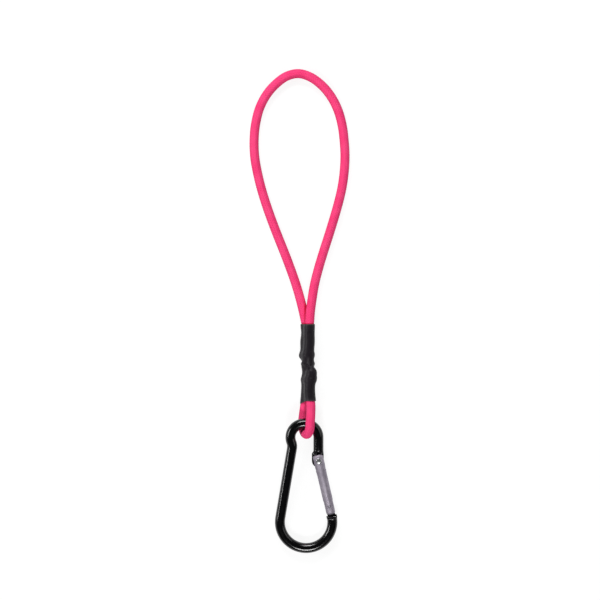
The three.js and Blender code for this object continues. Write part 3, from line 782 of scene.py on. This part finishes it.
def plate(name, place, outline, *holes):
    """A flat piece as thick as the tongue, from its outline and holes, with softened edges."""
    curve = bpy.data.curves.new(name, "CURVE")
    curve.dimensions = "2D"
    curve.fill_mode = "BOTH"
    curve.extrude = TONGUE_THICKNESS / 2
    for ring in (outline, *holes):
        spline = curve.splines.new("POLY")
        spline.points.add(len(ring) - 1)
        for point, (x, y) in zip(spline.points, ring):
            point.co = (x, y, 0, 1)
        spline.use_cyclic_u = True
    drawn = link_object(name, curve)
    mesh = bpy.data.meshes.new_from_object(drawn.evaluated_get(bpy.context.evaluated_depsgraph_get()))
    bpy.data.objects.remove(drawn)
    work = bmesh.new()
    work.from_mesh(mesh)
    bmesh.ops.remove_doubles(work, verts=work.verts, dist=WELD)
    bmesh.ops.dissolve_limit(work, angle_limit=math.radians(FLAT_ANGLE), verts=work.verts, edges=work.edges)
    bmesh.ops.recalc_face_normals(work, faces=work.faces)
    work.to_mesh(mesh)
    work.free()
    mesh.transform(place)
    return soften(link_object(name, mesh), EDGE_WIDTH)


def arc(centre, radius, start, end, steps=ARC_STEPS):
    return [(centre[0] + radius * math.cos(angle), centre[1] + radius * math.sin(angle))
            for angle in np.linspace(start, end, steps + 1)]


def curve_corner(start, corner, end):
    """Points of a quadratic curve from start to end, pulled towards the corner."""
    start, corner, end = Vector(start), Vector(corner), Vector(end)
    shares = np.linspace(0, 1, CAM_STEPS + 1)
    return [tuple((1 - t) ** 2 * start + 2 * t * (1 - t) * corner + t * t * end) for t in shares]


def tongue_plate():
    """The bar's flat end at the hinge, its lower edge a cam that the plunger bears on."""
    lean = math.tan(GATE_TILT)
    foot = Vector((math.sin(GATE_TILT), -math.cos(GATE_TILT))) * CAM_REACH

    def cam_at(x):
        return foot.y + (x - foot.x) * lean

    top = -RIVET.y - ARM_LENGTH - PRESS_LENGTH + CLEARANCE
    cam_end = GATE_TILT + 1.5 * math.pi - math.acos(CAM_REACH / TONGUE_INNER)
    outer = TONGUE_OUTER - CAM_CORNER
    outline = [
        (TONGUE_OUTER, top), (-TONGUE_INNER, top),
        *arc((0, 0), TONGUE_INNER, math.pi, cam_end, TONGUE_STEPS),
        *curve_corner((outer, cam_at(outer)), (TONGUE_OUTER, cam_at(TONGUE_OUTER)),
                      (TONGUE_OUTER, cam_at(outer) + CAM_CORNER)),
    ]
    hole = arc((0, 0), RIVET_RADIUS + CLEARANCE, 2 * math.pi, 0, HOLE_STEPS)[:-1]
    return plate("tongue", Matrix.Translation((*RIVET, 0)), outline, hole)


def nose_plate():
    """The bar's flat end at the latch: a stem with wide shoulders and a notch that holds the latch pin."""
    shoulder = -GATE_END - CLEARANCE
    notch = LATCH_PIN_RADIUS + CLEARANCE
    tip = -NOSE_REACH - NOSE_TIP_RADIUS
    root = -NOSE_FOOT + PRESS_LENGTH / 2
    outline = [
        (NOSE_SHOULDER_HALF, root), (NOSE_SHOULDER_HALF, shoulder), (NOSE_HALF, shoulder),
        *arc((NOSE_HALF - NOSE_TIP_RADIUS, tip), NOSE_TIP_RADIUS, 0, math.pi / 2),
        *arc((NOSE_TIP_RADIUS - NOSE_HALF, tip), NOSE_TIP_RADIUS, math.pi / 2, math.pi)[1:],
        (-NOSE_HALF, notch - LATCH_REACH),
        *arc((0, -LATCH_REACH), notch, math.pi / 2, -math.pi / 2, NOTCH_STEPS),
        (-NOSE_HALF, -LATCH_REACH - notch), (-NOSE_HALF, shoulder), (-NOSE_SHOULDER_HALF, shoulder),
        (-NOSE_SHOULDER_HALF, root),
    ]
    return plate("nose", Matrix.Translation((*RIVET, 0)) @ Matrix.Rotation(GATE_TILT, 4, "Z"), outline)


def apply_modifiers(made):
    bpy.context.view_layer.update()
    mesh = bpy.data.meshes.new_from_object(made.evaluated_get(bpy.context.evaluated_depsgraph_get()))
    made.modifiers.clear()
    made.data = mesh
    return made


def combine(made, others, how):
    """Joins the others to a piece or cuts them from it, and takes them away."""
    for other in others:
        step = made.modifiers.new("combine", "BOOLEAN")
        step.operation = how
        step.solver = "EXACT"
        step.object = other
        apply_modifiers(made)
        bpy.data.objects.remove(other)


def drop_slivers(made):
    """Merges points that cuts and bevels leave microns apart, and drops faces folded onto each other."""
    work = bmesh.new()
    work.from_mesh(made.data)
    bmesh.ops.remove_doubles(work, verts=work.verts, dist=SLIVER)
    bmesh.ops.triangulate(work, faces=[face for face in work.faces if len(face.verts) > 4])
    twins = {}
    for face in work.faces:
        twins.setdefault(frozenset(corner.index for corner in face.verts), []).append(face)
    folded = [face for same in twins.values() if len(same) > 1 for face in same]
    bmesh.ops.delete(work, geom=folded, context="FACES")
    work.to_mesh(made.data)
    work.free()
    return made


def soften(made, width):
    step = made.modifiers.new("soften", "BEVEL")
    step.width = width
    step.segments = BEVEL_SEGMENTS
    step.limit_method = "ANGLE"
    step.angle_limit = math.radians(BEVEL_ANGLE)
    return apply_modifiers(made)


def dress(made, place, body, look, node):
    """Puts a piece made in its own frame where it belongs, and hides the imported node that it stands for.
    """
    made.data.transform(place)
    made.data.materials.clear()
    made.data.materials.append(look)
    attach(made, body)
    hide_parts(node)


def make_frame():
    bar = tube("carabiner_bar", bar_rings())
    finish_mesh(bar)
    combine(bar, [tongue_plate(), nose_plate()], "UNION")
    finish_mesh(drop_slivers(bar), CRISP_ANGLE)
    dress(bar, FRAME_PLACE, "carabiner", anodised_look(), "carabiner_frame")


def turned(name, outline, sides):
    """A closed piece turned about its own Y axis, from radii and heights that start and end on the axis."""
    turn = np.arange(sides) / sides * 2 * math.pi
    rings = [np.column_stack([radius * np.cos(turn), np.full(sides, height), radius * np.sin(turn)])
             for radius, height in outline[1:-1]]
    ends = [(0, outline[0][1], 0), (0, outline[-1][1], 0)]
    return finish_mesh(add_object(name, np.vstack([*rings, *ends]), grid_faces(len(rings), sides)))


def slot_block(name, low, high):
    """What a slot takes from the gate between two heights, past both its sides."""
    corners = [(x, y, z) for x in (-SLOT_HALF_WIDTH, SLOT_HALF_WIDTH) for y in (low, high)
               for z in (-SLOT_GAP / 2, SLOT_GAP / 2)]
    faces = [(0, 1, 3, 2), (4, 6, 7, 5), (0, 4, 5, 1), (2, 3, 7, 6), (0, 2, 6, 4), (1, 5, 7, 3)]
    return finish_mesh(add_object(name, corners, faces))


def gate_profile():
    """The gate's outline from its domed latch end to its rounded hinge end."""
    dome = (GATE_RADIUS ** 2 + GATE_SAG ** 2) / (2 * GATE_SAG)
    reach = math.asin(GATE_RADIUS / dome)
    corner = (GATE_HINGE_RADIUS - GATE_CORNER, GATE_HINGE_END - GATE_CORNER)
    return [
        (0, -GATE_END),
        *arc((0, dome - GATE_END), dome, -math.pi / 2, reach - math.pi / 2, DOME_STEPS)[1:],
        (GATE_RADIUS, -GATE_SHOULDER), (GATE_HINGE_RADIUS, -FORK_FLOOR / 2),
        *arc(corner, GATE_CORNER, 0, math.pi / 2),
        (0, GATE_HINGE_END),
    ]


def rivet_outline(growth):
    """The rivet's outline, grown by a gap where it is the rivet's hole."""
    crown = GATE_HINGE_RADIUS + RIVET_PROUD + growth
    shaft, head = RIVET_RADIUS + growth, RIVET_HEAD + growth
    seat, rim = GATE_HINGE_RADIUS - RIVET_HEAD_DEPTH - growth, crown - RIVET_PROUD
    half = [(shaft, seat), (head, seat), (head, rim), (shaft, crown)]
    return [(0, -crown), *[(radius, -height) for radius, height in half[::-1]], *half, (0, crown)]


def pin_outline(growth, longer):
    """The latch pin's outline, grown by a gap and made longer where it is the pin's hole."""
    radius, half = LATCH_PIN_RADIUS + growth, GATE_RADIUS + longer
    inner, low = radius - LATCH_PIN_CHAMFER, half - LATCH_PIN_CHAMFER
    return [(0, -half), (inner, -half), (radius, -low), (radius, low), (inner, half), (0, half)]


def make_gate():
    gate = turned("gate_rod", gate_profile(), GATE_SIDES)
    mouth = OVERCUT - FORK_FLOOR
    bore = [(0, -BORE_END), (BORE_RADIUS, -BORE_END), (BORE_RADIUS, mouth), (0, mouth)]
    rivet_hole = turned("rivet_hole", rivet_outline(FIT_GAP), RIVET_SIDES)
    rivet_hole.data.transform(UPRIGHT)
    pin_hole = turned("pin_hole", pin_outline(FIT_GAP, OVERCUT), PIN_SIDES)
    pin_hole.data.transform(Matrix.Translation((0, -LATCH_REACH, 0)) @ UPRIGHT)
    combine(gate, [
        slot_block("fork_slot", -FORK_FLOOR, GATE_HINGE_END + OVERCUT),
        slot_block("latch_slot", -GATE_END - OVERCUT, -LATCH_SLOT_FLOOR),
        turned("bore", bore, BORE_SIDES), rivet_hole, pin_hole,
    ], "DIFFERENCE")
    soften(gate, GATE_EDGE_WIDTH)
    finish_mesh(drop_slivers(gate), CRISP_ANGLE)
    look = satin_look("satin_aluminium", -GATE_TILT, srgb(156, 149, 162), srgb(182, 175, 186), 0.62)
    dress(gate, GATE_PLACE, "gate", look, "gate")


def make_pins():
    steel = satin_look("rivet_steel", 0, srgb(206, 206, 208), srgb(230, 231, 233), 0.32)
    dull = satin_look("pin_steel", 0, srgb(150, 146, 156), srgb(170, 166, 175))
    rivet = turned("hinge_rivet_turned", rivet_outline(0), RIVET_SIDES)
    rivet.data.transform(UPRIGHT)
    finish_mesh(soften(rivet, EDGE_WIDTH), PIN_CRISP_ANGLE)
    dress(rivet, FRAME_PLACE @ Matrix.Translation((*RIVET, 0)), "carabiner", steel, "hinge_rivet")
    pin = turned("latch_pin_turned", pin_outline(0, 0), PIN_SIDES)
    pin.data.transform(Matrix.Translation((0, -LATCH_REACH, 0)) @ UPRIGHT)
    finish_mesh(pin, PIN_CRISP_ANGLE)
    dress(pin, GATE_PLACE, "gate", dull, "latch_pin")


def make_spring():
    """The coil in the gate's bore, its end turns closed up. It is drawn at one length, though the plunger
    shortens the real one as the gate opens.
    """
    turns = np.linspace(0, SPRING_TURNS, SPRING_TURNS * SPRING_STEPS + 1)
    low, high = SPRING_ENDS[0] + SPRING_WIRE / 2, SPRING_ENDS[1] - SPRING_WIRE / 2
    rise = SPRING_CLOSED * SPRING_WIRE
    along = np.interp(turns, [0, SPRING_CLOSED, SPRING_TURNS - SPRING_CLOSED, SPRING_TURNS],
                      [low, low + rise, high - rise, high])
    angle = turns * 2 * math.pi
    line = np.column_stack([SPRING_RADIUS * np.cos(angle), -along, SPRING_RADIUS * np.sin(angle)])
    side, up = frames_along(line)
    around = np.linspace(0, 2 * math.pi, WIRE_SIDES, endpoint=False)[None, :, None]
    ways = np.cos(around) * side[:, None] + np.sin(around) * up[:, None]
    rings = line[:, None] + SPRING_WIRE / 2 * ways
    spring = finish_mesh(tube("gate_spring_coil", rings))
    spring.data.transform(GATE_PLACE)
    spring.data.materials.append(satin_look("spring_steel", 0, *STEEL))
    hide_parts("gate_spring")
    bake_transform(spring)


def finish_hidden_parts():
    """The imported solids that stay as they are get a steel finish."""
    for node in ("crimp_ring_1", "crimp_ring_2", "plunger"):
        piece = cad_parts[node]
        piece.data.materials.clear()
        piece.data.materials.append(satin_look(node + "_steel", 0, *STEEL))


make_frame()
make_gate()
make_pins()
make_spring()
finish_hidden_parts()

# World: how bright the sky is at each height, from the horizon to straight above
WORLD_STOPS = [(0, 0.02), (0.35, 0.04), (0.8, 0.05), (1, 0.03)]

# Floor: the share of its own shading near the object, how much brighter it glows there to make up for it,
# and how far out the share starts to fade and is gone
FLOOR_HALF = 3
OWN_SHARE = 0.3
GLOW_MORE = 0.8
SHADOW_NEAR = 0.4
SHADOW_FAR = 1.0

# Lamps: where they point, and from how far
LAMP_TARGET = Vector((0.004, -0.1, 0.01))
LAMP_DISTANCE = 1.2


def lit_as_white(look):
    """White to the camera and in reflections, partly with its own shading near the object, for a shadow."""
    path = look.node("ShaderNodeLightPath").outputs
    seen = look.math("MAXIMUM", path["Is Camera Ray"], path["Is Glossy Ray"])
    seen = look.math("MAXIMUM", seen, path["Is Transmission Ray"])
    at = look.node("ShaderNodeTexCoord").outputs["Object"]
    away = look.node("ShaderNodeVectorMath", {0: at}, operation="LENGTH").outputs["Value"]
    fade = {"From Min": SHADOW_NEAR, "From Max": SHADOW_FAR, "To Min": OWN_SHARE, "To Max": 0.0}
    own = look.node("ShaderNodeMapRange", {"Value": away, **fade}).outputs["Result"]
    strength = look.math("ADD", look.math("MULTIPLY", own, GLOW_MORE), 1.0)
    glow = look.node("ShaderNodeEmission", {"Color": (1, 1, 1, 1), "Strength": strength}).outputs[0]
    share = look.math("MULTIPLY", seen, look.math("SUBTRACT", 1.0, own))
    mixed = look.node("ShaderNodeMixShader", {0: share, 1: look.shader.outputs[0], 2: glow}).outputs[0]
    look.tree.links.new(mixed, look.tree.nodes["Material Output"].inputs["Surface"])


def make_floor():
    corners = [(x * FLOOR_HALF, y * FLOOR_HALF, 0) for x, y in ((-1, -1), (1, -1), (1, 1), (-1, 1))]
    floor = add_object("floor", corners, [(0, 1, 2, 3)])
    look = Look("pale_floor", Base_Color=(0.5, 0.5, 0.5, 1), Roughness=0.9)
    lit_as_white(look)
    floor.data.materials.append(look.material)


def add_lamp(name, azimuth, polar, wide, high, power):
    """A strip of light that faces the carabiner, its length level. Polar is in degrees from straight up."""
    lamp = link_object(name, bpy.data.lights.new(name, "AREA"))
    lamp.data.shape = "RECTANGLE"
    lamp.data.size = wide
    lamp.data.size_y = high
    lamp.data.energy = power
    turn, drop = math.radians(azimuth), math.radians(polar)
    way = Vector((math.sin(drop) * math.cos(turn), math.sin(drop) * math.sin(turn), math.cos(drop)))
    lamp.location = LAMP_TARGET + LAMP_DISTANCE * way
    lamp.rotation_mode = "QUATERNION"
    lamp.rotation_quaternion = way.to_track_quat("Z", "Y")


def make_world():
    """White to the camera, and a dim and nearly even sky for the light."""
    world = bpy.data.worlds.new("studio")
    bpy.context.scene.world = world
    world.use_nodes = True
    tree = world.node_tree
    background = tree.nodes["Background"]
    background.inputs["Color"].default_value = (1, 1, 1, 1)
    way = tree.nodes.new("ShaderNodeSeparateXYZ")
    tree.links.new(tree.nodes.new("ShaderNodeTexCoord").outputs["Generated"], way.inputs["Vector"])
    height = tree.nodes.new("ShaderNodeValToRGB")
    tree.links.new(way.outputs["Z"], height.inputs["Fac"])
    set_stops(height.color_ramp, WORLD_STOPS)
    path = tree.nodes.new("ShaderNodeLightPath")
    strength = tree.nodes.new("ShaderNodeMix")
    tree.links.new(path.outputs["Is Camera Ray"], strength.inputs["Factor"])
    tree.links.new(height.outputs["Color"], strength.inputs["A"])
    strength.inputs["B"].default_value = 1
    tree.links.new(strength.outputs["Result"], background.inputs["Strength"])


make_floor()
make_world()
add_lamp("back_lamp", azimuth=98, polar=57, wide=0.6, high=0.22, power=9.5)
add_lamp("side_lamp", azimuth=170, polar=63, wide=0.55, high=0.18, power=5.2)
add_lamp("front_lamp", azimuth=270, polar=46, wide=0.42, high=0.24, power=9.5)
add_lamp("right_lamp", azimuth=20, polar=62, wide=0.9, high=0.5, power=2)
bpy.context.scene.view_settings.view_transform = "Standard"
